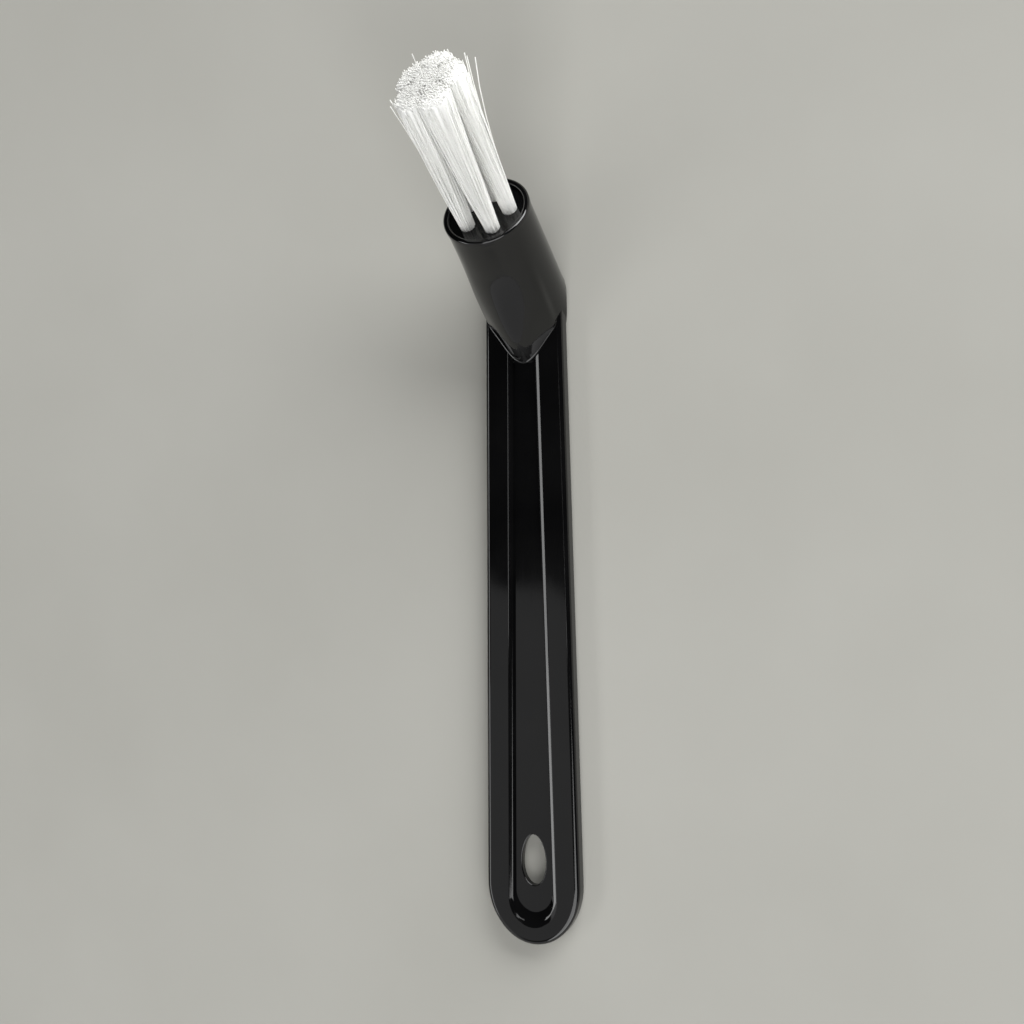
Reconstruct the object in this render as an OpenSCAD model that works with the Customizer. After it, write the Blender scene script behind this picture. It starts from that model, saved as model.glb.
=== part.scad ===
// Cleaning brush for coffee machines: a one-piece plastic handle with a tilted round collar,
// and nylon tufts that are punched into the collar and held by flat wire anchors.
// The brush lies on its back. +Y runs along the handle towards the collar, +Z is the front side.

/* [Handle] */
// Length from the round end to where the collar's axis crosses the middle of the handle
handle_len = 172; // [130:1:230]
// Width of the handle at its hanging end
butt_w = 27; // [24:0.5:34]
// Thickness of the handle
handle_t = 5; // [4:0.1:7]
// Length over which the hanging end rounds off
butt_len = 16.5; // [13.5:0.5:24]
// Width of the rounding along the outer edges, across the handle
edge_w = 2.6; // [1:0.1:3.6]
// Height of the rounding along the outer edges
edge_h = 1.7; // [0.8:0.1:1.9]

/* [Channels] */
// Width of the rail that runs on each side of the channels
rail_w = 6.8; // [5:0.1:8]
// Depth of the channel in the front side
front_d = 1.4; // [0.6:0.1:1.8]
// Depth of the channel in the back side
back_d = 1.4; // [0.6:0.1:1.8]
// Width of the sloping wall along the sides of a channel
wall_w = 1.2; // [0.5:0.1:2]
// Length of the ramp at the closed end of a channel
ramp_len = 4.2; // [2:0.1:6]
// Length over which the closed end of a channel rounds off
channel_end = 7.5; // [5:0.1:10]
// Solid material left at the closed ends of the channels
end_wall = 4.7; // [3.5:0.1:7]

/* [Hanging hole] */
// Width of the hanging hole
hole_w = 6.8; // [5:0.1:8]
// Length of the hanging hole
hole_len = 13.8; // [9:0.1:18]
// Material between the end of the channel floor and the hanging hole
hole_gap = 7.2; // [4:0.1:20]
// How much narrower the hole is towards the collar, as a share of its width
hole_egg = 0.08; // [0:0.01:0.15]

/* [Collar] */
// Outer diameter of the collar
collar_d = 22; // [20:0.5:28]
// Tilt of the collar's axis from the handle
collar_angle = 50; // [40:1:65]
// Length of the collar along its axis, from the middle of the handle to the rim
collar_len = 33; // [28:0.5:45]
// How far the collar stands proud of the handle's sides
shoulder = 0.4; // [0.2:0.1:1]
// Extra radius at the foot of the collar, so that it leaves its mould
collar_draft = 0.15; // [0:0.05:0.3]
// Radius of the bend between the handle's back and the collar
knee_r = 20; // [12:0.5:24]
// How far the nib under the collar runs out along the channel
nib_len = 3.2; // [1:0.1:5]
// Slope of the nib
nib_angle = 34; // [24:1:38]
// Diameter of the nib
nib_d = 13; // [9:0.5:16]
// Wall of the rim around the recess
rim_w = 1.3; // [0.9:0.1:2]
// Depth of the recess inside the rim
recess_d = 1.2; // [0.5:0.1:2.5]
// Rounding of the rim's top edges
rim_r = 0.4; // [0.1:0.05:0.44]
// How far the bead around the rim stands out
bead_out = 0.2; // [0.1:0.05:0.4]
// Height of the bead around the rim
bead_h = 1.4; // [1:0.1:3]

/* [Tufts] */
// Diameter of the holes that hold the tufts
tuft_d = 4; // [3:0.1:4.2]
// Depth of the holes below the recess
tuft_depth = 9; // [7:0.5:12]
// Space between the outer tufts and the rim
tuft_margin = 1.9; // [1.2:0.1:2.1]
// Turn of the ring of tufts about the collar's axis
ring_turn = 28; // [0:1:72]
// Free length of the bristles above the recess
bristle_len = 45; // [35:1:60]
// Thickness of a strand of bristle
strand_d = 0.38; // [0.25:0.01:0.42]
// How much wider a tuft is at its tips than at its hole
flare = 1.6; // [1.3:0.05:1.65]
// How far the outer tufts lean outwards at their tips
tuft_lean = 0.4; // [0.3:0.1:2]
// How much lower the outermost tips are than the middle ones
dome = 2; // [0:0.5:5]
// Unevenness of the cut tips
ragged = 1.6; // [0:0.1:3]

/* [Anchors] */
// Thickness of the anchor wire
anchor_t = 0.4; // [0.25:0.05:0.6]
// Height of the anchor wire along the hole
anchor_h = 1.8; // [1.2:0.1:2.5]
// How far each end of an anchor bites into the wall of its hole
anchor_bite = 0.3; // [0.1:0.05:0.5]

/* [Hidden] */
$fn = 96;

// Outlines
round_steps = 36;      // points around a rounded end
edge_steps = 5;        // steps in the rounding of an edge
wall_steps = 6;        // steps in the curve of a channel wall
knee_steps = 12;       // steps in the bend at the back
past = 1;              // how far a cutter runs past what it cuts
collar_r = collar_d / 2;
neck_half = collar_r - shoulder;
butt_half = butt_w / 2;
mid_z = handle_t / 2;
low_z = handle_t - front_d;

// The level cut through the tilted collar is an ellipse: foot_r across, foot_len along the handle
foot_r = collar_r + collar_draft;
foot_len = foot_r / sin(collar_angle);
knee_reach = knee_r * tan(collar_angle / 2);
knee_start = foot_y(0) + foot_len - knee_reach;

// The hanging hole sits above the closed end of the channel floor
hole_y = end_wall + ramp_len + hole_gap + hole_len / 2;

// Tufts
outer_tufts = 5;
tuft_rows = 4;         // rings of strands around the middle strand
seat_gap = 0.05;       // between a tuft and its hole
floor_s = collar_len - recess_d;
ring_r = collar_r - rim_w - tuft_margin - tuft_d / 2;
row_pitch = (tuft_d / 2 - seat_gap - strand_d / 2) / tuft_rows;
tip_spread = ring_r + tuft_lean + row_pitch * tuft_rows * flare;
anchor_len = tuft_d + 2 * anchor_bite;
anchor_s = floor_s - tuft_depth + anchor_h / 2;

// The origin is below the middle of the whole brush
tips = [for (t = [1:outer_tufts + 1]) for (q = [0:tuft_rows]) for (k = [0:row_count(q) - 1])
        strand_tip(t, q, k)];
reach_y = max([for (p = tips) axis_point(p)[1]]);
mid_y = reach_y / 2;

// Half the handle's width at distance y from its round end
function half_w(y) = butt_half + (neck_half - butt_half) * y / handle_len;

// Place along the handle of the collar's axis at height z
function foot_y(z) = handle_len + (z - mid_z) / tan(collar_angle);

// Share of an edge's rounding that is left at height z in a body from 0 to top
function edge_in(z, top) =
    let (d = min(z, top - z))
    d >= edge_h ? 0 : 1 - sqrt(1 - pow(1 - d / edge_h, 2));

// A closed outline at height z, drawn a distance inset inside the handle's sides: a half ellipse
// of length end_len from tip, and another of length far beyond y_far
function outline(tip, end_len, inset, y_far, far, z) = concat(
    [for (i = [0:round_steps])
        let (a = 180 + 180 * i / round_steps, y = tip + end_len)
        [(half_w(y) - inset) * cos(a), y + end_len * sin(a), z]],
    [for (i = [0:round_steps / 2])
        let (a = 360 * i / round_steps)
        [(half_w(y_far) - inset) * cos(a), y_far + far * sin(a), z]]);

// Heights of the layers that round both edges of the handle
edge_levels = [for (i = [0:edge_steps]) edge_h * (1 - cos(90 * i / edge_steps))];
slab_levels = concat(edge_levels, [for (i = [edge_steps:-1:0]) handle_t - edge_levels[i]]);

// Number of strands in row q of a tuft
function row_count(q) = max(1, 6 * q);

// A repeatable number from 0 to 1 for strand k of row q in tuft t
function chance(t, q, k, salt) =
    let (v = sin(t * 127.1 + q * 311.7 + k * 74.7 + salt * 191.3) * 437.585)
    v - floor(v);

// Middle of tuft t in the collar's own frame, at its hole and at its tips
function tuft_at(t, r) = t == 1
    ? [0, 0]
    : let (a = 270 + ring_turn + 360 * (t - 2) / outer_tufts) r * [cos(a), sin(a)];

// Foot and tip of a strand in the collar's own frame
function strand_foot(t, q, k) =
    let (a = 360 * k / row_count(q) + 17 * q, p = tuft_at(t, ring_r))
    [p[0] + q * row_pitch * cos(a), p[1] + q * row_pitch * sin(a), floor_s - past];
function strand_tip(t, q, k) =
    let (a = 360 * k / row_count(q) + 17 * q + 6 * (chance(t, q, k, 1) - 0.5),
         p = tuft_at(t, ring_r + tuft_lean),
         r = q * row_pitch * flare,
         x = p[0] + r * cos(a),
         y = p[1] + r * sin(a),
         drop = dome * (x * x + y * y) / pow(tip_spread, 2) + ragged * chance(t, q, k, 2))
    [x, y, floor_s + bristle_len - drop];

// A point of the collar's own frame in the frame of the handle
function axis_point(p) = [
    p[0],
    handle_len + p[1] * sin(collar_angle) + p[2] * cos(collar_angle),
    mid_z - p[1] * cos(collar_angle) + p[2] * sin(collar_angle)];

// Skins a stack of outlines that have the same number of points
module skin(layers) {
    n = len(layers[0]);
    top = (len(layers) - 1) * n;
    sides = [for (j = [0:len(layers) - 2]) for (i = [0:n - 1])
        let (a = j * n + i, b = j * n + (i + 1) % n)
        each [[a, a + n, b + n], [a, b + n, b]]];
    polyhedron(
        points = [for (l = layers) each l],
        faces = concat([[for (i = [0:n - 1]) i]], sides, [[for (i = [n - 1:-1:0]) top + i]]),
        convexity = 6);
}

// Puts its children on the collar's axis, which becomes their +Z
module on_collar() {
    translate([0, handle_len, mid_z])
        rotate([collar_angle - 90, 0, 0])
            children();
}

// Moves the brush so that the origin lies below its middle
module placed() {
    translate([0, -mid_y, 0])
        children();
}

// The tapered handle with its rounded edges, before the channels are cut
module slab() {
    skin([for (z = slab_levels)
        let (in = edge_w * edge_in(z, handle_t))
        outline(in, butt_len - in, in, foot_y(0), foot_len * neck_half / foot_r - knee_reach - in, z)]);
}

// Cutter for a channel of depth d in the front side. Its upper end is far long beyond y_far
// and slopes over a length of ramp
module channel(d, y_far, far, ramp) {
    skin(concat(
        [for (i = [wall_steps:-1:0])
            let (share = i / wall_steps)
            outline(end_wall + ramp_len * share,
                channel_end - (ramp_len - 2 * wall_w) * share,
                rail_w + wall_w * share,
                y_far, far - ramp * share, handle_t - d * (1 - cos(180 * share)) / 2)],
        [outline(end_wall, channel_end, rail_w, y_far, far, handle_t + past)]));
}

// The front channel runs up to the nib and under the foot of the collar
module front_channel() {
    channel(front_d, handle_len - foot_len / 2, past, 0);
}

// The back channel stops short of the collar, with a rounded end like its lower one
module back_channel() {
    translate([0, 0, handle_t])
        mirror([0, 0, 1])
            channel(back_d, foot_y(0) - foot_len - end_wall - channel_end, channel_end, ramp_len);
}

// Cutter for the egg-shaped hanging hole
module hanging_hole() {
    translate([0, hole_y, -past])
        linear_extrude(handle_t + 2 * past)
            polygon([for (a = [0:5:355])
                [hole_w / 2 * cos(a) * (1 - hole_egg * sin(a)), hole_len / 2 * sin(a)]]);
}

// The space that the foot of the collar may fill: level with the handle's back,
// rounded along its sides like the handle, and rounded by the knee
module foot_space() {
    long = handle_len + 2 * collar_len;
    half = [for (z = edge_levels) [foot_r - edge_w * edge_in(z, 2 * edge_h), z]];
    intersection() {
        translate([0, long, 0])
            rotate([90, 0, 0])
                linear_extrude(long)
                    polygon(concat(
                        half, [[foot_r + past, edge_h], [foot_r + past, long], [-foot_r - past, long]],
                        [[-foot_r - past, edge_h]],
                        [for (i = [edge_steps:-1:0]) [-half[i][0], half[i][1]]]));
        translate([-collar_d, 0, 0])
            rotate([90, 0, 90])
                linear_extrude(2 * collar_d)
                    polygon(concat(
                        [[handle_len - 2 * foot_len, 0]],
                        [for (i = [0:knee_steps])
                            let (a = collar_angle * i / knee_steps)
                            [knee_start + knee_r * sin(a), knee_r * (1 - cos(a))]],
                        [[long, knee_r * (1 - cos(collar_angle))], [long, long]],
                        [[handle_len - 2 * foot_len, long]]));
    }
}

// The turned collar, with its bead, rim and recess, on a foot that fits the handle
module collar() {
    in_r = collar_r - rim_w;
    bead_r = collar_r + bead_out;
    intersection() {
        on_collar()
            rotate_extrude()
                polygon(concat(
                    [[0, -2 * foot_len], [foot_r, -2 * foot_len], [foot_r, 0]],
                    [[collar_r, collar_len - bead_h - bead_out], [bead_r, collar_len - bead_h]],
                    [for (a = [0:15:90])
                        [bead_r - rim_r * (1 - cos(a)), collar_len - rim_r * (1 - sin(a))]],
                    [for (a = [90:15:180])
                        [in_r + rim_r * (1 + cos(a)), collar_len - rim_r * (1 - sin(a))]],
                    [[in_r, floor_s], [0, floor_s]]));
        foot_space();
    }
}

// The nib that carries the collar's front down to the floor of the channel
module nib() {
    reach = nib_len * sin(collar_angle) / sin(collar_angle - nib_angle) + nib_d / 2;
    intersection() {
        translate([0, foot_y(low_z) - foot_len - nib_len, low_z])
            rotate([nib_angle - 90, 0, 0])
                translate([0, nib_d / 2, -nib_d])
                    cylinder(h = nib_d + reach, d = nib_d);
        translate([-nib_d, 0, mid_z])
            cube([2 * nib_d, handle_len + foot_len, collar_len]);
    }
}

// The seat of tuft t: a blind hole with a slot that takes the ends of the anchor
module tuft_seat(t) {
    translate(concat(tuft_at(t, ring_r), [floor_s - tuft_depth]))
        cylinder(h = tuft_depth + recess_d, d = tuft_d);
    anchor_blank(t);
}

// The flat piece of wire across the bottom of hole t
module anchor_blank(t) {
    translate(concat(tuft_at(t, ring_r), [anchor_s]))
        cube([anchor_len, anchor_t, anchor_h], center = true);
}

// A straight strand from point a to point b
module strand(a, b) {
    v = b - a;
    translate(a)
        rotate([0, acos(v[2] / norm(v)), atan2(v[1], v[0])])
            cylinder(h = norm(v), d = strand_d, $fn = 5);
}

// Handle and collar, moulded in one piece
module handle() {
    color("#161616") placed() difference() {
        union() {
            difference() {
                slab();
                front_channel();
                back_channel();
                hanging_hole();
            }
            collar();
            nib();
        }
        on_collar()
            for (t = [1:outer_tufts + 1]) tuft_seat(t);
    }
}

// Tuft t: nylon strands, packed tight in their hole and folded over the anchor
module tuft(t) {
    color("#f4f4f0") placed() on_collar() difference() {
        union() {
            translate(concat(tuft_at(t, ring_r), [floor_s - tuft_depth]))
                cylinder(h = tuft_depth, r = tuft_d / 2 - seat_gap);
            for (q = [0:tuft_rows])
                for (k = [0:row_count(q) - 1])
                    strand(strand_foot(t, q, k), strand_tip(t, q, k));
        }
        anchor_blank(t);
    }
}

// Anchor t: a short length of flat wire
module anchor(t) {
    color("#c9b56a") placed() on_collar() anchor_blank(t);
}

handle();
tuft(1);  // tuft_1
tuft(2);  // tuft_2
tuft(3);  // tuft_3
tuft(4);  // tuft_4
tuft(5);  // tuft_5
tuft(6);  // tuft_6
anchor(1);  // anchor_1
anchor(2);  // anchor_2
anchor(3);  // anchor_3
anchor(4);  // anchor_4
anchor(5);  // anchor_5
anchor(6);  // anchor_6
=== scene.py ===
import bpy
import bmesh
import math
import random
from mathutils import Matrix, Vector


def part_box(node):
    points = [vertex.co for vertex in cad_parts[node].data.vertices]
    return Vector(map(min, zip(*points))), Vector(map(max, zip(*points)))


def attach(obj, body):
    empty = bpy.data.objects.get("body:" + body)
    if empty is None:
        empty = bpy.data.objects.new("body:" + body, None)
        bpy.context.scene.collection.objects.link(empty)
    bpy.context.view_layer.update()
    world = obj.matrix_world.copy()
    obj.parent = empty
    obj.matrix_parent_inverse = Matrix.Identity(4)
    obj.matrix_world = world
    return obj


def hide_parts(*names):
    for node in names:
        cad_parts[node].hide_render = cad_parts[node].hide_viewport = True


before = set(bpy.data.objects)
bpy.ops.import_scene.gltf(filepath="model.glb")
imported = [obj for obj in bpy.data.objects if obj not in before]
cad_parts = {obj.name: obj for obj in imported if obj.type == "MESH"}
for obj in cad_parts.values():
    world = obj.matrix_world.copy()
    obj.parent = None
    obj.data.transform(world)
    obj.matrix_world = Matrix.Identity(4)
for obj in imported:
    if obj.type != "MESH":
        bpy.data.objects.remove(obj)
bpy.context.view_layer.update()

scene = bpy.context.scene

# the brush is modelled in millimetres along the handle from its round end, then moved onto the frame
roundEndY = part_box("handle")[0].y
toFrame = Matrix.Translation((0, roundEndY, 0)) @ Matrix.Scale(0.001, 4)
tiny = 1e-4                 # millimetres


def newObject(name, bm):
    mesh = bpy.data.meshes.new(name)
    bm.to_mesh(mesh)
    bm.free()
    obj = bpy.data.objects.new(name, mesh)
    scene.collection.objects.link(obj)
    return obj


def stackRings(bm, segments, places):
    # a capped circle is extruded once for each place function, which moves the ring's points
    across = bm.verts.layers.float.new("across")
    along = bm.verts.layers.float.new("along")
    verts = bmesh.ops.create_circle(bm, cap_ends=True, segments=segments, radius=1)["verts"]
    for v in verts:
        v[across], v[along] = v.co.x, v.co.y
    edges = list(bm.edges)
    for number, place in enumerate(places):
        if number:
            made = bmesh.ops.extrude_edge_only(bm, edges=edges)["geom"]
            verts = [g for g in made if isinstance(g, bmesh.types.BMVert)]
            fresh = set(verts)
            edges = [g for g in made if isinstance(g, bmesh.types.BMEdge) and fresh.issuperset(g.verts)]
        for v in verts:
            v.co = place(v[across], v[along])
    bmesh.ops.contextual_create(bm, geom=edges)
    bmesh.ops.recalc_face_normals(bm, faces=bm.faces)


def combine(target, other, operation):
    cut = target.modifiers.new("Combine", "BOOLEAN")
    cut.operation = operation
    cut.solver = "EXACT"
    cut.object = other
    bpy.context.view_layer.update()
    baked = bpy.data.meshes.new_from_object(target.evaluated_get(bpy.context.evaluated_depsgraph_get()))
    target.modifiers.clear()
    target.data = baked
    bpy.data.objects.remove(other)


# handle: rails, channels on both sides and the rounded edges
handleShape = {
    "length": 172.0,        # from the round end to where the collar's axis crosses the middle
    "buttWidth": 27.0,
    "neckWidth": 21.2,
    "thickness": 5.0,
    "buttLength": 16.5,
    "edgeWidth": 1.4,
    "edgeHeight": 1.4,
    "edgeSteps": 8,
    "railWidth": 6.15,
    "railCrown": 0.05,      # the rails are a little higher along their middle
    "railSteps": 8,
    "channelDepth": 1.4,
    "wallWidth": 1.95,
    "rimSlope": 15.3,       # the channel's rim has a narrow bevel of this slope
    "rimWidth": 0.6,
    "rimBend": (1.6, 3),    # radius and steps of the bend from the rail into the bevel
    "wallSlope": 68.0,
    "wallBend": (0.6, 5),   # radius and steps of the bend from the bevel into the wall
    "wallRings": (0.93, 1),  # two rings close together keep the wall's foot crisp
    "rampSteepness": 0.85,  # 1 gives the ramp at the channel's end one even slope
    "rampLength": 4.2,
    "channelEnd": 7.5,      # length over which the channel's closed end rounds off at its rim
    "floorEnd": 5.7,        # and at its floor
    "endWall": 4.7,
    "backStop": 143.15,     # where the back channel starts to round off below the collar
    "frontStop": 164.7,     # the front channel runs on under the collar
    "frontStopEnd": 1.0,
    "neckEnd": 4.5,         # length over which the handle rounds off inside the collar
    "segments": 96,
}

collarShape = {
    "radius": 11.0,
    "draft": 0.15,
    "angle": 50.0,
    "length": 33.0,
    "beadOut": 0.2,
    "beadHeight": 1.4,
    "beadFade": 0.3,        # length over which the bead runs out into the cylinder
    "beadFoot": 0.05,       # how far it still stands out halfway
    "rimWidth": 1.3,
    "rimRadius": 0.55,
    "rimSteps": 6,
    "recess": 1.2,
    "kneeRadius": 20.0,
    "kneeSteps": 24,
    "lowerEdge": 2.1,       # width of the round lower edges
    "lowerEdgeSteps": 6,
    "levels": 26,           # rings between the bead and the foot
    "lip": 0.27,            # how far the foot's edge stands above the rails
    "lipInset": (0.22, 12),  # how far the foot's edge draws in at the lip, and how late
    "lipLevels": [(0.85, 0.09), (0.5, 0.02)],  # (share of the lip's height, inset) of its rounding
    "footLevels": [(4.98, 0), (2.45, 0), (2.3, 0.6), (-3, 0.6)],  # (height, tuck) inside the handle
    "segments": 128,
}

keelShape = {
    "hold": 5.0,            # the keel keeps its outline up to this height above the rails
    "rise": 20.0,           # and has faded into the cylinder at this height
    "flankAngle": 52.8,     # direction that each flank faces, from the handle's length
    "flankDistance": 13.1,
    "side": 10.3,
    "near": 22.0,           # half length of the outline towards the round end
    "far": 9.0,
    "soft": 0.25,           # the lower, the rounder the tip
    "insetFade": 0.8,       # the inset fades out where the keel stands out by less than this
}

tilt = math.radians(collarShape["angle"])
midZ = handleShape["thickness"] / 2
footRadius = collarShape["radius"] + collarShape["draft"]
footLength = footRadius / math.sin(tilt)


def footY(z):
    return handleShape["length"] + (z - midZ) / math.tan(tilt)


def halfWidth(y):
    s = handleShape
    return s["buttWidth"] / 2 + (s["neckWidth"] - s["buttWidth"]) / 2 * y / s["length"]


def handleLevel(z, inset, tip, roundLength, farY, farLength):
    # an outline at height z: half an ellipse at the round end and half an ellipse at the collar
    def place(across, along):
        y, length = (tip + roundLength, roundLength) if along < tiny else (farY, farLength)
        return Vector((across * (halfWidth(y) - inset), y + along * length, z))
    return place


def wallProfile():
    # (across, down) shares of a channel wall, listed from its foot up to the rail
    s = handleShape
    points = [(0.0, 0.0)]

    def step(length, slope):
        x, z = points[-1]
        points.append((x + length * math.cos(slope), z + length * math.sin(slope)))

    def bend(radius, steps, fromSlope, toSlope):
        for i in range(steps):
            slope = math.radians(fromSlope + (toSlope - fromSlope) * (i + 0.5) / steps)
            step(radius * math.radians(toSlope - fromSlope) / steps, slope)

    bend(*s["rimBend"], 0, s["rimSlope"])
    step(s["rimWidth"], math.radians(s["rimSlope"]))
    bend(*s["wallBend"], s["rimSlope"], s["wallSlope"])
    x, z = points[-1]
    left = s["channelDepth"] - z
    for share in s["wallRings"]:
        points.append((x + left * share / math.tan(math.radians(s["wallSlope"])), z + left * share))
    return [(x / points[-1][0], z / s["channelDepth"]) for x, z in points[:0:-1]]


def handleSide(front):
    # levels of one side of the handle, from the middle of the channel out to the side
    s = handleShape
    top = s["thickness"] if front else 0.0
    sign = -1 if front else 1
    neckY, neckEnd, edge = footY(0), s["neckEnd"], s["edgeWidth"]
    if front:
        stopY, stopEnd, stopRamp = s["frontStop"], s["frontStopEnd"], 0.0
    else:
        stopY, stopEnd, stopRamp = s["backStop"], s["channelEnd"], s["rampLength"]
    levels = []
    for share, down in wallProfile():
        depth = s["channelDepth"] * down + s["railCrown"]
        slide = share + (down - share) * s["rampSteepness"]
        levels.append(handleLevel(
            top + sign * depth, s["railWidth"] + s["wallWidth"] * share,
            s["endWall"] + s["rampLength"] * slide,
            s["channelEnd"] + (s["floorEnd"] - s["channelEnd"]) * slide,
            stopY, stopEnd - stopRamp * slide))
    for i in range(s["railSteps"], -1, -1):
        share = i / s["railSteps"]
        crown = s["railCrown"] * (2 * share - 1) ** 2
        buttEnd = s["buttLength"] - edge
        levels.append(handleLevel(
            top + sign * crown, edge + (s["railWidth"] - edge) * share,
            edge + (s["endWall"] - edge) * share,
            buttEnd + (s["channelEnd"] - buttEnd) * share,
            neckY + (stopY - neckY) * share, neckEnd + (stopEnd - neckEnd) * share))
    for i in range(1, s["edgeSteps"] + 1):
        turn = math.pi / 2 * i / s["edgeSteps"]
        inset = edge * (1 - math.sin(turn))
        down = s["railCrown"] + (s["edgeHeight"] - s["railCrown"]) * (1 - math.cos(turn))
        levels.append(handleLevel(
            top + sign * down, inset, inset, s["buttLength"] - inset, neckY, neckEnd))
    return levels


def makeHandle():
    bm = bmesh.new()
    stackRings(bm, handleShape["segments"], handleSide(True) + handleSide(False)[::-1])
    return newObject("brushHandle", bm)


brushHandle = makeHandle()
print("handle: rails and channels")


# collar: turned rim on a tilted cylinder whose front flares out to a keel on the handle
axisUp = Vector((0, math.cos(tilt), math.sin(tilt)))
axisFront = Vector((0, -math.sin(tilt), math.cos(tilt)))
axisFoot = Vector((0, handleShape["length"], midZ))
recessFloor = collarShape["length"] - collarShape["recess"]


def axisPoint(x, front, s):
    return axisFoot + Vector((x, 0, 0)) + axisFront * front + axisUp * s


def keelReach(x, y):
    # how far the foot's outline reaches in the direction (x, y) from the middle of the collar:
    # an oval whose near end is cut by two straight flanks that meet in a soft tip
    s = keelShape
    size, turn = math.hypot(x, y), abs(math.atan2(x, -y))
    flankAngle, soft, leastCosine = math.radians(s["flankAngle"]), s["soft"], 0.05
    right = s["flankDistance"] / max(leastCosine, math.cos(turn - flankAngle))
    left = s["flankDistance"] / max(leastCosine, math.cos(turn + flankAngle))
    flanks = -math.log(math.exp(-soft * right) + math.exp(-soft * left)) / soft
    side = 1 / math.hypot(x / size / s["side"], y / size / (s["near"] if y < 0 else s["far"]))
    return min(flanks, side)


def flared(p, z, inset=0.0):
    # moves a point of the cylinder out towards the keel; far above the rails it stays where it is
    rise = max(0.0, z - handleShape["thickness"])
    hold, end = keelShape["hold"], keelShape["rise"]
    share = (1 + math.cos(math.pi * min(1.0, max(0.0, rise - hold) / (end - hold)))) / 2
    middle = Vector((0, footY(z), z))
    out = Vector((p.x, p.y - middle.y, 0))
    extra = keelReach(out.x, out.y) - out.length
    if out.y > 0 or extra <= 0 or share == 0:
        return p
    fade = min(1.0, extra / keelShape["insetFade"])
    return p + out.normalized() * (extra * share - inset * fade)


def collarLevel(radius, s):
    def place(across, along):
        return flared(axisPoint(radius * across, -radius * along, s), axisPoint(0, -radius * along, s).z)
    return place


def slantLevel(share, topS):
    # between a ring square to the axis and a ring that lies level with the handle
    radius = collarShape["radius"] + collarShape["draft"] * share
    lipZ = handleShape["thickness"] + collarShape["lip"]
    lipInset, lateness = collarShape["lipInset"]

    def place(across, along):
        footS = (lipZ - midZ + radius * along * math.cos(tilt)) / math.sin(tilt)
        p = axisPoint(radius * across, -radius * along, topS + (footS - topS) * share)
        return flared(p, p.z, lipInset * share ** lateness)
    return place


def footLevel(z, inset=0.0, tuck=0.0):
    def place(across, along):
        s = (z - midZ + footRadius * along * math.cos(tilt)) / math.sin(tilt)
        p = axisPoint(footRadius * across, -footRadius * along, s)
        if tuck and along < 0:
            return p + Vector((0, tuck * -along, 0))
        return flared(p, max(z, handleShape["thickness"]), inset)
    return place


def makeCollar():
    s = collarShape
    radius, length, rim = s["radius"], s["length"], s["rimRadius"]
    bead = radius + s["beadOut"]
    inner = radius - s["rimWidth"]
    turns = [math.pi / 2 * i / s["rimSteps"] for i in range(s["rimSteps"] + 1)]
    profile = [(inner, recessFloor)]
    profile += [(inner + rim * (1 - math.cos(a)), length - rim * (1 - math.sin(a))) for a in turns]
    profile += [(bead - rim * (1 - math.sin(a)), length - rim * (1 - math.cos(a))) for a in turns]
    beadS = length - s["beadHeight"]
    topS = beadS - s["beadFade"]
    profile += [(bead, beadS), (radius + s["beadFoot"], beadS - s["beadFade"] / 2), (radius, topS)]
    levels = [collarLevel(r, along) for r, along in profile]
    levels += [slantLevel(i / s["levels"], topS) for i in range(1, s["levels"] + 1)]
    top = handleShape["thickness"]
    levels += [footLevel(top + s["lip"] * share, inset) for share, inset in s["lipLevels"]]
    levels += [footLevel(z, tuck=tuck) for z, tuck in s["footLevels"]]
    bm = bmesh.new()
    stackRings(bm, s["segments"], levels)
    return newObject("collar", bm)


def makeKneeBlock():
    # the collar is cut level with the handle's back, with a round knee and round lower edges
    sideMargin, kneeMargin = 0.05, 0.03
    half = footRadius + sideMargin
    knee = collarShape["kneeRadius"] * math.tan(tilt / 2)
    backY = footY(0) + footLength
    slope = knee + kneeMargin
    slopeY, slopeZ = backY + slope * math.cos(tilt), slope * math.sin(tilt)
    low, far, high = handleShape["length"] - 2 * footLength, 300.0, 120.0
    outline = [(low, 0), (backY, 0), (slopeY, slopeZ), (far, slopeZ), (far, high), (low, high)]
    bm = bmesh.new()
    face = bm.faces.new([bm.verts.new((-half, y, z)) for y, z in outline])
    made = bmesh.ops.extrude_face_region(bm, geom=[face])["geom"]
    bmesh.ops.translate(bm, vec=(2 * half, 0, 0),
                        verts=[g for g in made if isinstance(g, bmesh.types.BMVert)])
    bmesh.ops.recalc_face_normals(bm, faces=bm.faces)
    corner = [e for e in bm.edges
              if all(abs(v.co.y - backY) < tiny and abs(v.co.z) < tiny for v in e.verts)]
    bmesh.ops.bevel(bm, geom=corner, offset=knee, offset_type="OFFSET",
                    segments=collarShape["kneeSteps"], profile=0.5, affect="EDGES", material=-1)
    near = 10 * tiny
    lower = [e for e in bm.edges
             if all(v.co.z < slopeZ + near and abs(abs(v.co.x) - half) < tiny for v in e.verts)
             and e.verts[0].co.x * e.verts[1].co.x > 0
             and min(v.co.y for v in e.verts) < slopeY - near
             and abs(e.verts[0].co.y - e.verts[1].co.y) > near]
    bmesh.ops.bevel(bm, geom=lower, offset=collarShape["lowerEdge"], offset_type="OFFSET",
                    segments=collarShape["lowerEdgeSteps"], profile=0.5, affect="EDGES", material=-1)
    return newObject("kneeBlock", bm)


collar = makeCollar()
combine(collar, makeKneeBlock(), "INTERSECT")
combine(brushHandle, collar, "UNION")
print("collar: joined to the handle")


# hanging hole and the six holes that hold the tufts
holeShape = {
    "width": 6.8,
    "length": 13.8,
    "middle": 23.0,
    "egg": 0.08,            # how much narrower it is towards the collar
    "edge": 0.3,
    "edgeSteps": 6,
    "segments": 72,
}

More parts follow.
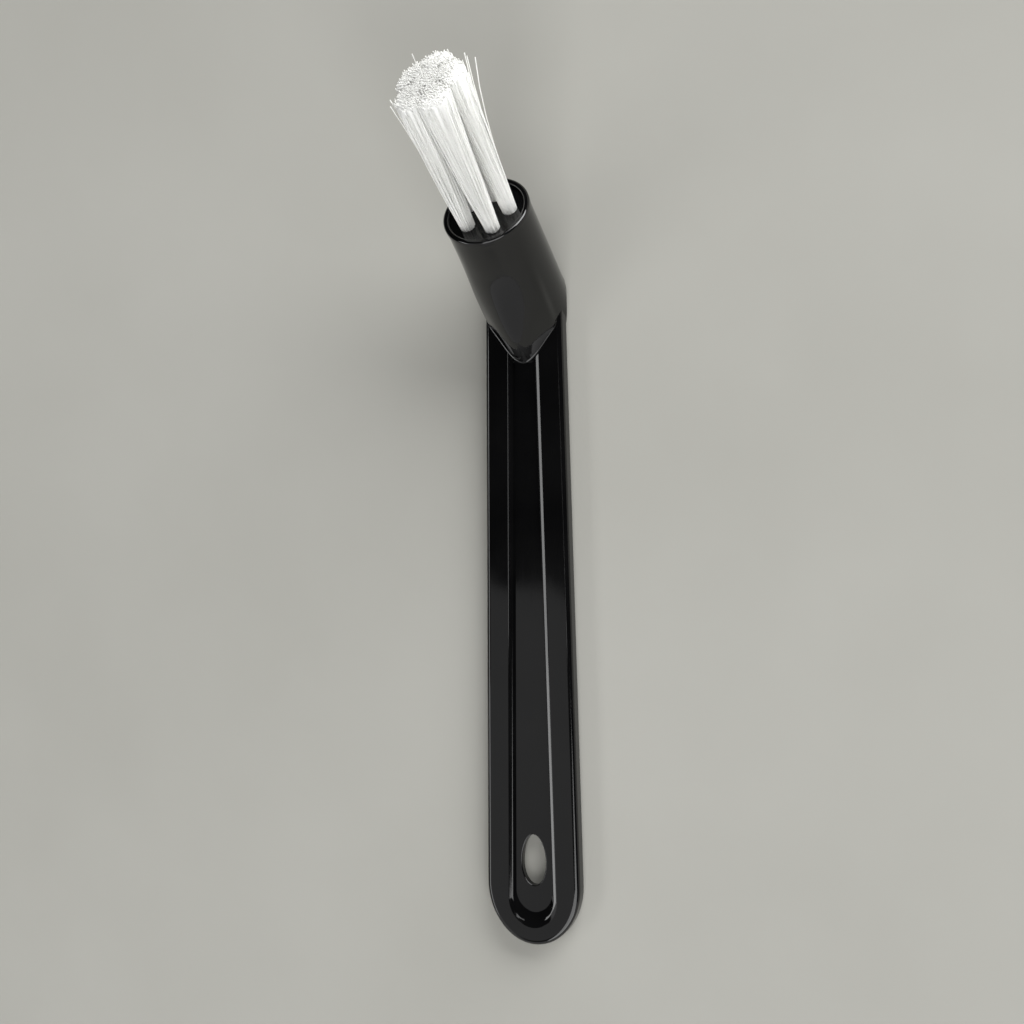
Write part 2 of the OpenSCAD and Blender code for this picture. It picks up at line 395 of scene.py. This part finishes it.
tuftShape = {
    "holeRadius": 2.0,
    "holeDepth": 9.0,
    "holeSegments": 40,
    "ringRadius": 5.8,
    "ringTurn": 28.0,
    "outerTufts": 5,
}


def tuftMiddle(number):
    # number 0 is the middle tuft; the place is (across, towards the front)
    s = tuftShape
    if number == 0:
        return Vector((0, 0))
    turn = math.radians(270 + s["ringTurn"] + 360 * (number - 1) / s["outerTufts"])
    return Vector((s["ringRadius"] * math.cos(turn), -s["ringRadius"] * math.sin(turn)))


def makeHoleCutter():
    s = holeShape

    def level(z):
        return lambda across, along: Vector((
            s["width"] / 2 * across * (1 - s["egg"] * along), s["middle"] + s["length"] / 2 * along, z))

    bm = bmesh.new()
    stackRings(bm, s["segments"], [level(-1), level(handleShape["thickness"] + 1)])
    return newObject("holeCutter", bm)


def makeTuftCutter():
    s = tuftShape
    bm = bmesh.new()
    for number in range(s["outerTufts"] + 1):
        middle = tuftMiddle(number)
        made = bmesh.ops.create_cone(bm, cap_ends=True, segments=s["holeSegments"], radius1=s["holeRadius"],
                                     radius2=s["holeRadius"], depth=s["holeDepth"] + 1)["verts"]
        for v in made:
            v.co = axisPoint(middle.x + v.co.x, middle.y + v.co.y,
                             recessFloor - (s["holeDepth"] - 1) / 2 + v.co.z)
    bmesh.ops.recalc_face_normals(bm, faces=bm.faces)
    return newObject("tuftCutter", bm)


combine(brushHandle, makeHoleCutter(), "DIFFERENCE")
combine(brushHandle, makeTuftCutter(), "DIFFERENCE")


handleFinish = {"merge": 0.002, "sharp": 21.0}


def finishHandle(obj):
    # rounds the hanging hole's edges, closes the mesh and moves it onto the frame
    bm = bmesh.new()
    bm.from_mesh(obj.data)
    bmesh.ops.remove_doubles(bm, verts=bm.verts, dist=handleFinish["merge"])
    bmesh.ops.dissolve_degenerate(bm, dist=handleFinish["merge"], edges=bm.edges)
    s, around, near, leastAngle = holeShape, 0.1, 0.01, 1
    halfX, halfY = s["width"] / 2 + around, s["length"] / 2 + around
    backFloor = handleShape["channelDepth"] + handleShape["railCrown"]
    floors = [backFloor, handleShape["thickness"] - backFloor]
    rim = [e for e in bm.edges
           if all(abs(v.co.x) < halfX and abs(v.co.y - s["middle"]) < halfY
                  and min(abs(v.co.z - f) for f in floors) < near for v in e.verts)
           and e.calc_face_angle(0) > leastAngle]
    bmesh.ops.bevel(bm, geom=rim, offset=s["edge"], offset_type="OFFSET", segments=s["edgeSteps"],
                    profile=0.5, affect="EDGES", material=-1)
    bmesh.ops.holes_fill(bm, edges=[e for e in bm.edges if e.is_boundary])
    bmesh.ops.transform(bm, matrix=toFrame, verts=bm.verts)
    bmesh.ops.recalc_face_normals(bm, faces=bm.faces)
    openEdges = sum(1 for e in bm.edges if not e.is_manifold)
    bm.to_mesh(obj.data)
    bm.free()
    obj.data.polygons.foreach_set("use_smooth", [True] * len(obj.data.polygons))
    obj.data.set_sharp_from_angle(angle=math.radians(handleFinish["sharp"]))
    weighted = obj.modifiers.new("Weighted normals", "WEIGHTED_NORMAL")
    weighted.keep_sharp = True
    print("handle: faces", len(obj.data.polygons), "open edges", openEdges)


finishHandle(brushHandle)
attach(brushHandle, "root")
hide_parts("handle")


# bristles: fine nylon filaments, packed in their holes and fanned out at their tips
bristleShape = {
    "perTuft": 480,
    "radius": 0.135,
    "sides": 5,
    "steps": 6,
    "thickness": (0.88, 1.08),  # range of the filaments' radius, as shares of it
    "packedRadius": 1.66,
    "rootDepth": 4,         # the filaments start this far inside their holes
    "freeLength": 44.7,
    "tipRing": 6.1,         # where the outer tufts' middles end up at the tips
    "flareOut": 2.0,        # how much wider a tuft is at its tips, away from the axis
    "flareRound": 2.36,     # and around the axis, where neighbours meet
    "spreadPower": 1.15,    # 1 fans a filament out evenly, more leaves it upright at its foot
    "dome": 1.5,
    "ragged": (0.25, 2.2),  # how much shorter a filament may be, in the middle and at the edge
    "raggedPowers": (4, 1.3),  # how close to the edge that grows, and how rare the short ones are
    "slant": (0.15, -0.1),  # the cut rises towards +X and towards the back
    "turnScatter": 0.1,
    "tipScatter": 0.2,
    "bow": 0.225,           # how far a filament bends sideways
    "coreShare": (0.84, 0.97),  # the filaments inside are merged into a fluted core
    "coreBelow": 0.75,      # the core's top edge stands this far below the cut
    "coreTop": (0.7, 0.35),  # at this share of its radius the core stands only this far below it
    "coreSteps": 7,
    "coreFlutes": 15,
    "flutePoints": 4,
    "fluteDepth": 0.05,
    "sharp": 80.0,
    "seed": 11,
    "strays": [             # (tuft, across and towards the front at the tip, height of the tip)
        (2, (11.2, -4.7), 76.7), (2, (9.3, -4.8), 77.2), (2, (8.5, -5.7), 77.4), (5, (-8.5, 5.7), 73.3),
        (5, (-8.9, 4.0), 73.7), (4, (-5.7, -8.0), 76.5), (3, (-1.2, -9.6), 75.4), (3, (2.6, -9.4), 75.5),
    ],
    "strayFoot": 0.95,      # a stray stands at this share of its tuft's radius
    "strayPower": 3,        # the higher, the closer to its tip it leaves the tuft
}


def filamentTemplate():
    # one filament of radius 1 and length 1, which every filament is shaped from
    def level(up):
        return lambda across, along: Vector((across, along, up))

    s = bristleShape
    bm = bmesh.new()
    stackRings(bm, s["sides"], [level(i / s["steps"]) for i in range(s["steps"] + 1)])
    mesh = bpy.data.meshes.new("filament")
    bm.to_mesh(mesh)
    bm.free()
    return mesh


def fanned(number, out):
    # where a filament that stands at out from its tuft's middle ends up at the tips
    s = bristleShape
    if number == 0:
        return out * s["flareOut"]
    outward = tuftMiddle(number).normalized()
    around = Vector((-outward.y, outward.x))
    turned = out.dot(around) * s["flareRound"] / s["tipRing"]
    away = s["tipRing"] + out.dot(outward) * s["flareOut"]
    return (outward * math.cos(turned) + around * math.sin(turned)) * away


bristleStart = recessFloor - bristleShape["rootDepth"]
tipReach = bristleShape["tipRing"] + bristleShape["packedRadius"] * bristleShape["flareOut"]


def cutHeight(end):
    # height of the cut above the collar's foot, where a filament ends
    s = bristleShape
    slant = end.x * s["slant"][0] + end.y * s["slant"][1]
    return recessFloor + s["freeLength"] - s["dome"] * (end.length / tipReach) ** 2 + slant


def coreLevel(number, up, radiusShare=1.0, below=bristleShape["coreBelow"]):
    # one ring of the core, at the share up of its height
    s = bristleShape

    def place(across, along):
        flute = 1 + s["fluteDepth"] * math.cos(s["coreFlutes"] * math.atan2(along, across))
        share = s["coreShare"][0] + (s["coreShare"][1] - s["coreShare"][0]) * up
        out = Vector((across, along)) * s["packedRadius"] * share * flute * radiusShare
        end = fanned(number, out)
        side = (tuftMiddle(number) + out).lerp(end, up ** s["spreadPower"])
        return axisPoint(side.x, side.y, bristleStart + (cutHeight(end) - below - bristleStart) * up)
    return place


def addFilament(bm, template, start, end, endS, radius, bend=(0, 0), astray=(0, 0)):
    # bend moves the filament's middle sideways, and astray its tip
    s = bristleShape
    bend, astray = Vector(bend), Vector(astray)
    first = len(bm.verts)
    bm.from_mesh(template)
    bm.verts.ensure_lookup_table()
    for v in bm.verts[first:]:
        up = v.co.z
        side = start.lerp(end, up ** s["spreadPower"])
        side += bend * math.sin(math.pi * up) + astray * up ** s["strayPower"]
        v.co = axisPoint(side.x + v.co.x * radius, side.y + v.co.y * radius,
                         bristleStart + (endS - bristleStart) * up)


def makeTuft(number, template, rng):
    s = bristleShape
    base = tuftMiddle(number)
    bm = bmesh.new()
    levels = [coreLevel(number, i / s["coreSteps"]) for i in range(s["coreSteps"] + 1)]
    stackRings(bm, s["coreFlutes"] * s["flutePoints"], levels + [coreLevel(number, 1, *s["coreTop"])])
    goldenAngle = math.pi * (3 - math.sqrt(5))
    edgePower, shortPower = s["raggedPowers"]
    for i in range(s["perTuft"]):
        distance = math.sqrt((i + 0.5) / s["perTuft"]) * s["packedRadius"]
        turn = i * goldenAngle + rng.uniform(-s["turnScatter"], s["turnScatter"])
        out = Vector((math.cos(turn), math.sin(turn))) * distance
        end = fanned(number, out) + Vector([rng.gauss(0, s["tipScatter"]) for axis in range(2)])
        bend = [rng.gauss(0, s["bow"]) for axis in range(2)]
        edge = min(1.0, end.length / tipReach)
        ragged = s["ragged"][0] + (s["ragged"][1] - s["ragged"][0]) * edge ** edgePower
        endS = cutHeight(end) - ragged * rng.random() ** shortPower
        addFilament(bm, template, base + out, end, endS, s["radius"] * rng.uniform(*s["thickness"]), bend)
    for tuft, tip, height in s["strays"]:
        if tuft == number:
            out = (Vector(tip) - base).normalized() * s["packedRadius"] * s["strayFoot"]
            end = fanned(number, out)
            addFilament(bm, template, base + out, end, height, s["radius"], astray=Vector(tip) - end)
    bmesh.ops.transform(bm, matrix=toFrame, verts=bm.verts)
    bmesh.ops.recalc_face_normals(bm, faces=bm.faces)
    obj = newObject("bristleTuft" + str(number + 1), bm)
    obj.data.polygons.foreach_set("use_smooth", [True] * len(obj.data.polygons))
    obj.data.set_sharp_from_angle(angle=math.radians(s["sharp"]))
    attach(obj, "root")
    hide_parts("tuft_" + str(number + 1))
    return obj


filament = filamentTemplate()
dice = random.Random(bristleShape["seed"])
tufts = [makeTuft(number, filament, dice) for number in range(tuftShape["outerTufts"] + 1)]
bpy.data.meshes.remove(filament)
print("bristles:", len(tufts), "tufts of", bristleShape["perTuft"])


# materials, all on Object coordinates in metres
def newMaterial(name):
    material = bpy.data.materials.new(name)
    material.use_nodes = True
    tree = material.node_tree
    return material, tree, tree.nodes["Principled BSDF"]


def objectNoise(tree, scale, detail, stretch=(1, 1, 1), roughness=0.5):
    place = tree.nodes.new("ShaderNodeTexCoord")
    mapping = tree.nodes.new("ShaderNodeMapping")
    mapping.inputs["Scale"].default_value = stretch
    noise = tree.nodes.new("ShaderNodeTexNoise")
    noise.inputs["Scale"].default_value = scale
    noise.inputs["Detail"].default_value = detail
    noise.inputs["Roughness"].default_value = roughness
    tree.links.new(place.outputs["Object"], mapping.inputs["Vector"])
    tree.links.new(mapping.outputs["Vector"], noise.inputs["Vector"])
    return noise.outputs["Fac"]


def ramp(tree, source, *stops):
    # stops are two pairs of (position, color)
    node = tree.nodes.new("ShaderNodeValToRGB")
    for element, stop in zip(node.color_ramp.elements, stops):
        element.position, element.color = stop
    tree.links.new(source, node.inputs["Fac"])
    return node.outputs["Color"]


def rangeOf(tree, source, low, high, fromLow=0.3, fromHigh=0.7):
    node = tree.nodes.new("ShaderNodeMapRange")
    node.inputs["From Min"].default_value = fromLow
    node.inputs["From Max"].default_value = fromHigh
    node.inputs["To Min"].default_value = low
    node.inputs["To Max"].default_value = high
    tree.links.new(source, node.inputs["Value"])
    return node.outputs["Result"]


def addBump(tree, shader, sources):
    # sources are (height, strength, distance in metres), the finest one last
    last = None
    for height, strength, distance in sources:
        bump = tree.nodes.new("ShaderNodeBump")
        bump.inputs["Strength"].default_value = strength
        bump.inputs["Distance"].default_value = distance
        tree.links.new(height, bump.inputs["Height"])
        if last:
            tree.links.new(last, bump.inputs["Normal"])
        last = bump.outputs["Normal"]
    tree.links.new(last, shader.inputs["Normal"])


blackPlastic = {
    "dark": (0.35, (0.0012, 0.0012, 0.0013, 1)),
    "light": (0.7, (0.0024, 0.0024, 0.0025, 1)),
    "roughness": (0.055, 0.085),
    "scuffed": (0.0, 0.03, 0.55, 0.75),  # least and most added roughness, and the noise range for it
    "cloudNoise": {"scale": 60, "detail": 3},
    "scuffNoise": {"scale": 900, "detail": 4, "stretch": (1, 0.05, 1), "roughness": 0.7},
    "waveNoise": {"scale": 35, "detail": 1},
    "waveBump": (0.25, 0.00012),
    "grainNoise": {"scale": 2600, "detail": 2},
    "grainBump": (0.06, 0.00003),
    "ior": 1.5,
}


def makeBlackPlastic():
    s = blackPlastic
    material, tree, shader = newMaterial("glossyBlackPlastic")
    cloud = objectNoise(tree, **s["cloudNoise"])
    scuffs = objectNoise(tree, **s["scuffNoise"])
    tree.links.new(ramp(tree, cloud, s["dark"], s["light"]), shader.inputs["Base Color"])
    add = tree.nodes.new("ShaderNodeMath")
    add.operation = "ADD"
    tree.links.new(rangeOf(tree, cloud, *s["roughness"]), add.inputs[0])
    tree.links.new(rangeOf(tree, scuffs, *s["scuffed"]), add.inputs[1])
    tree.links.new(add.outputs[0], shader.inputs["Roughness"])
    addBump(tree, shader, [(objectNoise(tree, **s["waveNoise"]), *s["waveBump"]),
                           (objectNoise(tree, **s["grainNoise"]), *s["grainBump"])])
    shader.inputs["IOR"].default_value = s["ior"]
    return material


nylon = {
    "shade": (0.3, (0.85, 0.85, 0.825, 1)),
    "bright": (0.6, (0.905, 0.905, 0.878, 1)),
    "roughness": (0.39, 0.53),
    "specular": 0.35,
    "subsurface": 0.3,
    "subsurfaceRadius": (1.0, 1.0, 1.0),
    "subsurfaceScale": 0.0012,
    "strandNoise": {"scale": 900, "detail": 2, "stretch": (1, 0.06, 0.06)},
    "grainNoise": {"scale": 5000, "detail": 1},
    "grainBump": (0.1, 0.00002),
    "ior": 1.53,
}


def makeNylon():
    s = nylon
    material, tree, shader = newMaterial("whiteNylon")
    strands = objectNoise(tree, **s["strandNoise"])
    tree.links.new(ramp(tree, strands, s["shade"], s["bright"]), shader.inputs["Base Color"])
    tree.links.new(rangeOf(tree, strands, *s["roughness"]), shader.inputs["Roughness"])
    shader.inputs["Specular IOR Level"].default_value = s["specular"]
    shader.inputs["Subsurface Weight"].default_value = s["subsurface"]
    shader.inputs["Subsurface Radius"].default_value = s["subsurfaceRadius"]
    shader.inputs["Subsurface Scale"].default_value = s["subsurfaceScale"]
    addBump(tree, shader, [(objectNoise(tree, **s["grainNoise"]), *s["grainBump"])])
    shader.inputs["IOR"].default_value = s["ior"]
    return material


brass = {
    "dark": (0.3, (0.5, 0.38, 0.16, 1)),
    "light": (0.7, (0.72, 0.58, 0.3, 1)),
    "roughness": (0.28, 0.45),
    "drawnNoise": {"scale": 1500, "detail": 3, "stretch": (0.1, 1, 1)},
    "drawnBump": (0.15, 0.00003),
}


def makeAnchorBrass():
    s = brass
    material, tree, shader = newMaterial("anchorBrass")
    drawn = objectNoise(tree, **s["drawnNoise"])
    tree.links.new(ramp(tree, drawn, s["dark"], s["light"]), shader.inputs["Base Color"])
    tree.links.new(rangeOf(tree, drawn, *s["roughness"]), shader.inputs["Roughness"])
    shader.inputs["Metallic"].default_value = 1.0
    addBump(tree, shader, [(drawn, *s["drawnBump"])])
    return material


def dress(obj, material):
    obj.data.materials.clear()
    obj.data.materials.append(material)


dress(brushHandle, makeBlackPlastic())
nylonMaterial = makeNylon()
for tuft in tufts:
    dress(tuft, nylonMaterial)
brassMaterial = makeAnchorBrass()
for name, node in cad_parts.items():
    if name.startswith("anchor"):
        dress(node, brassMaterial)
print("materials: done")


# floor, lights and camera
floorLook = {
    "size": 9.0,
    "gap": 0.0001,          # it lies this far below the brush, so that their faces don't coincide
    "color": (0.35, (0.345, 0.341, 0.312, 1)),
    "speck": (0.65, (0.37, 0.366, 0.337, 1)),
    "noise": {"scale": 9, "detail": 4},
    "roughness": 0.85,
    "specular": 0.25,
}


def makeFloor():
    s = floorLook
    bm = bmesh.new()
    bmesh.ops.create_grid(bm, x_segments=2, y_segments=2, size=s["size"] / 2)
    bmesh.ops.translate(bm, vec=(0, 0, -s["gap"]), verts=bm.verts)
    floor = newObject("floor", bm)
    material, tree, shader = newMaterial("paleFloor")
    specks = objectNoise(tree, **s["noise"])
    tree.links.new(ramp(tree, specks, s["color"], s["speck"]), shader.inputs["Base Color"])
    shader.inputs["Roughness"].default_value = s["roughness"]
    shader.inputs["Specular IOR Level"].default_value = s["specular"]
    dress(floor, material)


lights = [
    # name, location, target, direction of its length, width, length, brightness
    ("frontSoft", (0.45, -0.9, 0.95), (0, 0, 0.02), (1, 0, 0), 1.2, 1.3, 3.3),
    ("backSoft", (0.85, 1.15, 0.58), (0, 0.08, 0.04), (1, 0, 0), 0.9, 1.7, 9.2),
    ("horizon", (0.0, -1.9, 0.75), (0, 0.1, 0.75), (1, 0, 0), 1.5, 6.0, 0.55),
    ("leftStrip", (-0.95, -0.34, 0.72), (0, -0.34, 0), (0, 1, 0), 0.26, 0.82, 4.5),
    ("greyPanel", (-0.24, -0.29, 0.6), (-0.24, -0.29, 0), (0, 1, 0), 0.3, 0.38, 0.47),
    ("leftFade", (-0.6, -0.5, 0.64), (0, -0.5, 0), (0, 1, 0), 0.3, 0.6, 0.9),
    ("topStrip", (-0.01, -0.04, 0.6), (-0.01, -0.04, 0), (0, 1, 0), 0.05, 0.18, 2.5),
]


worldColor = (0.03, 0.03, 0.031, 1)


def makeLight(name, location, target, lengthwise, width, length, brightness):
    data = bpy.data.lights.new(name, "AREA")
    data.shape = "RECTANGLE"
    data.size, data.size_y = width, length
    data.energy = brightness * width * length * math.pi
    lamp = bpy.data.objects.new(name, data)
    scene.collection.objects.link(lamp)
    away = (Vector(location) - Vector(target)).normalized()
    side = Vector(lengthwise).cross(away).normalized()
    turned = Matrix((side, away.cross(side), away)).transposed().to_4x4()
    lamp.matrix_world = Matrix.Translation(location) @ turned


cameraView = {
    "location": (0.17634, 0.04366, 0.43963),
    "rotation": (-5.3726, 22.4256, -1.1317),
    "lens": 63.21,
    "sensorWidth": 36,
    "clipStart": 0.01,
}


def makeCamera():
    data = bpy.data.cameras.new("camera")
    s = cameraView
    data.lens, data.sensor_width, data.clip_start = s["lens"], s["sensorWidth"], s["clipStart"]
    camera = bpy.data.objects.new("camera", data)
    camera.location = s["location"]
    camera.rotation_euler = [math.radians(a) for a in s["rotation"]]
    scene.collection.objects.link(camera)
    scene.camera = camera


makeFloor()
for light in lights:
    makeLight(*light)
world = bpy.data.worlds.new("studio")
world.use_nodes = True
world.node_tree.nodes["Background"].inputs["Color"].default_value = worldColor
scene.world = world
scene.view_settings.view_transform = "Standard"
makeCamera()
print("stage: floor, lights and camera")
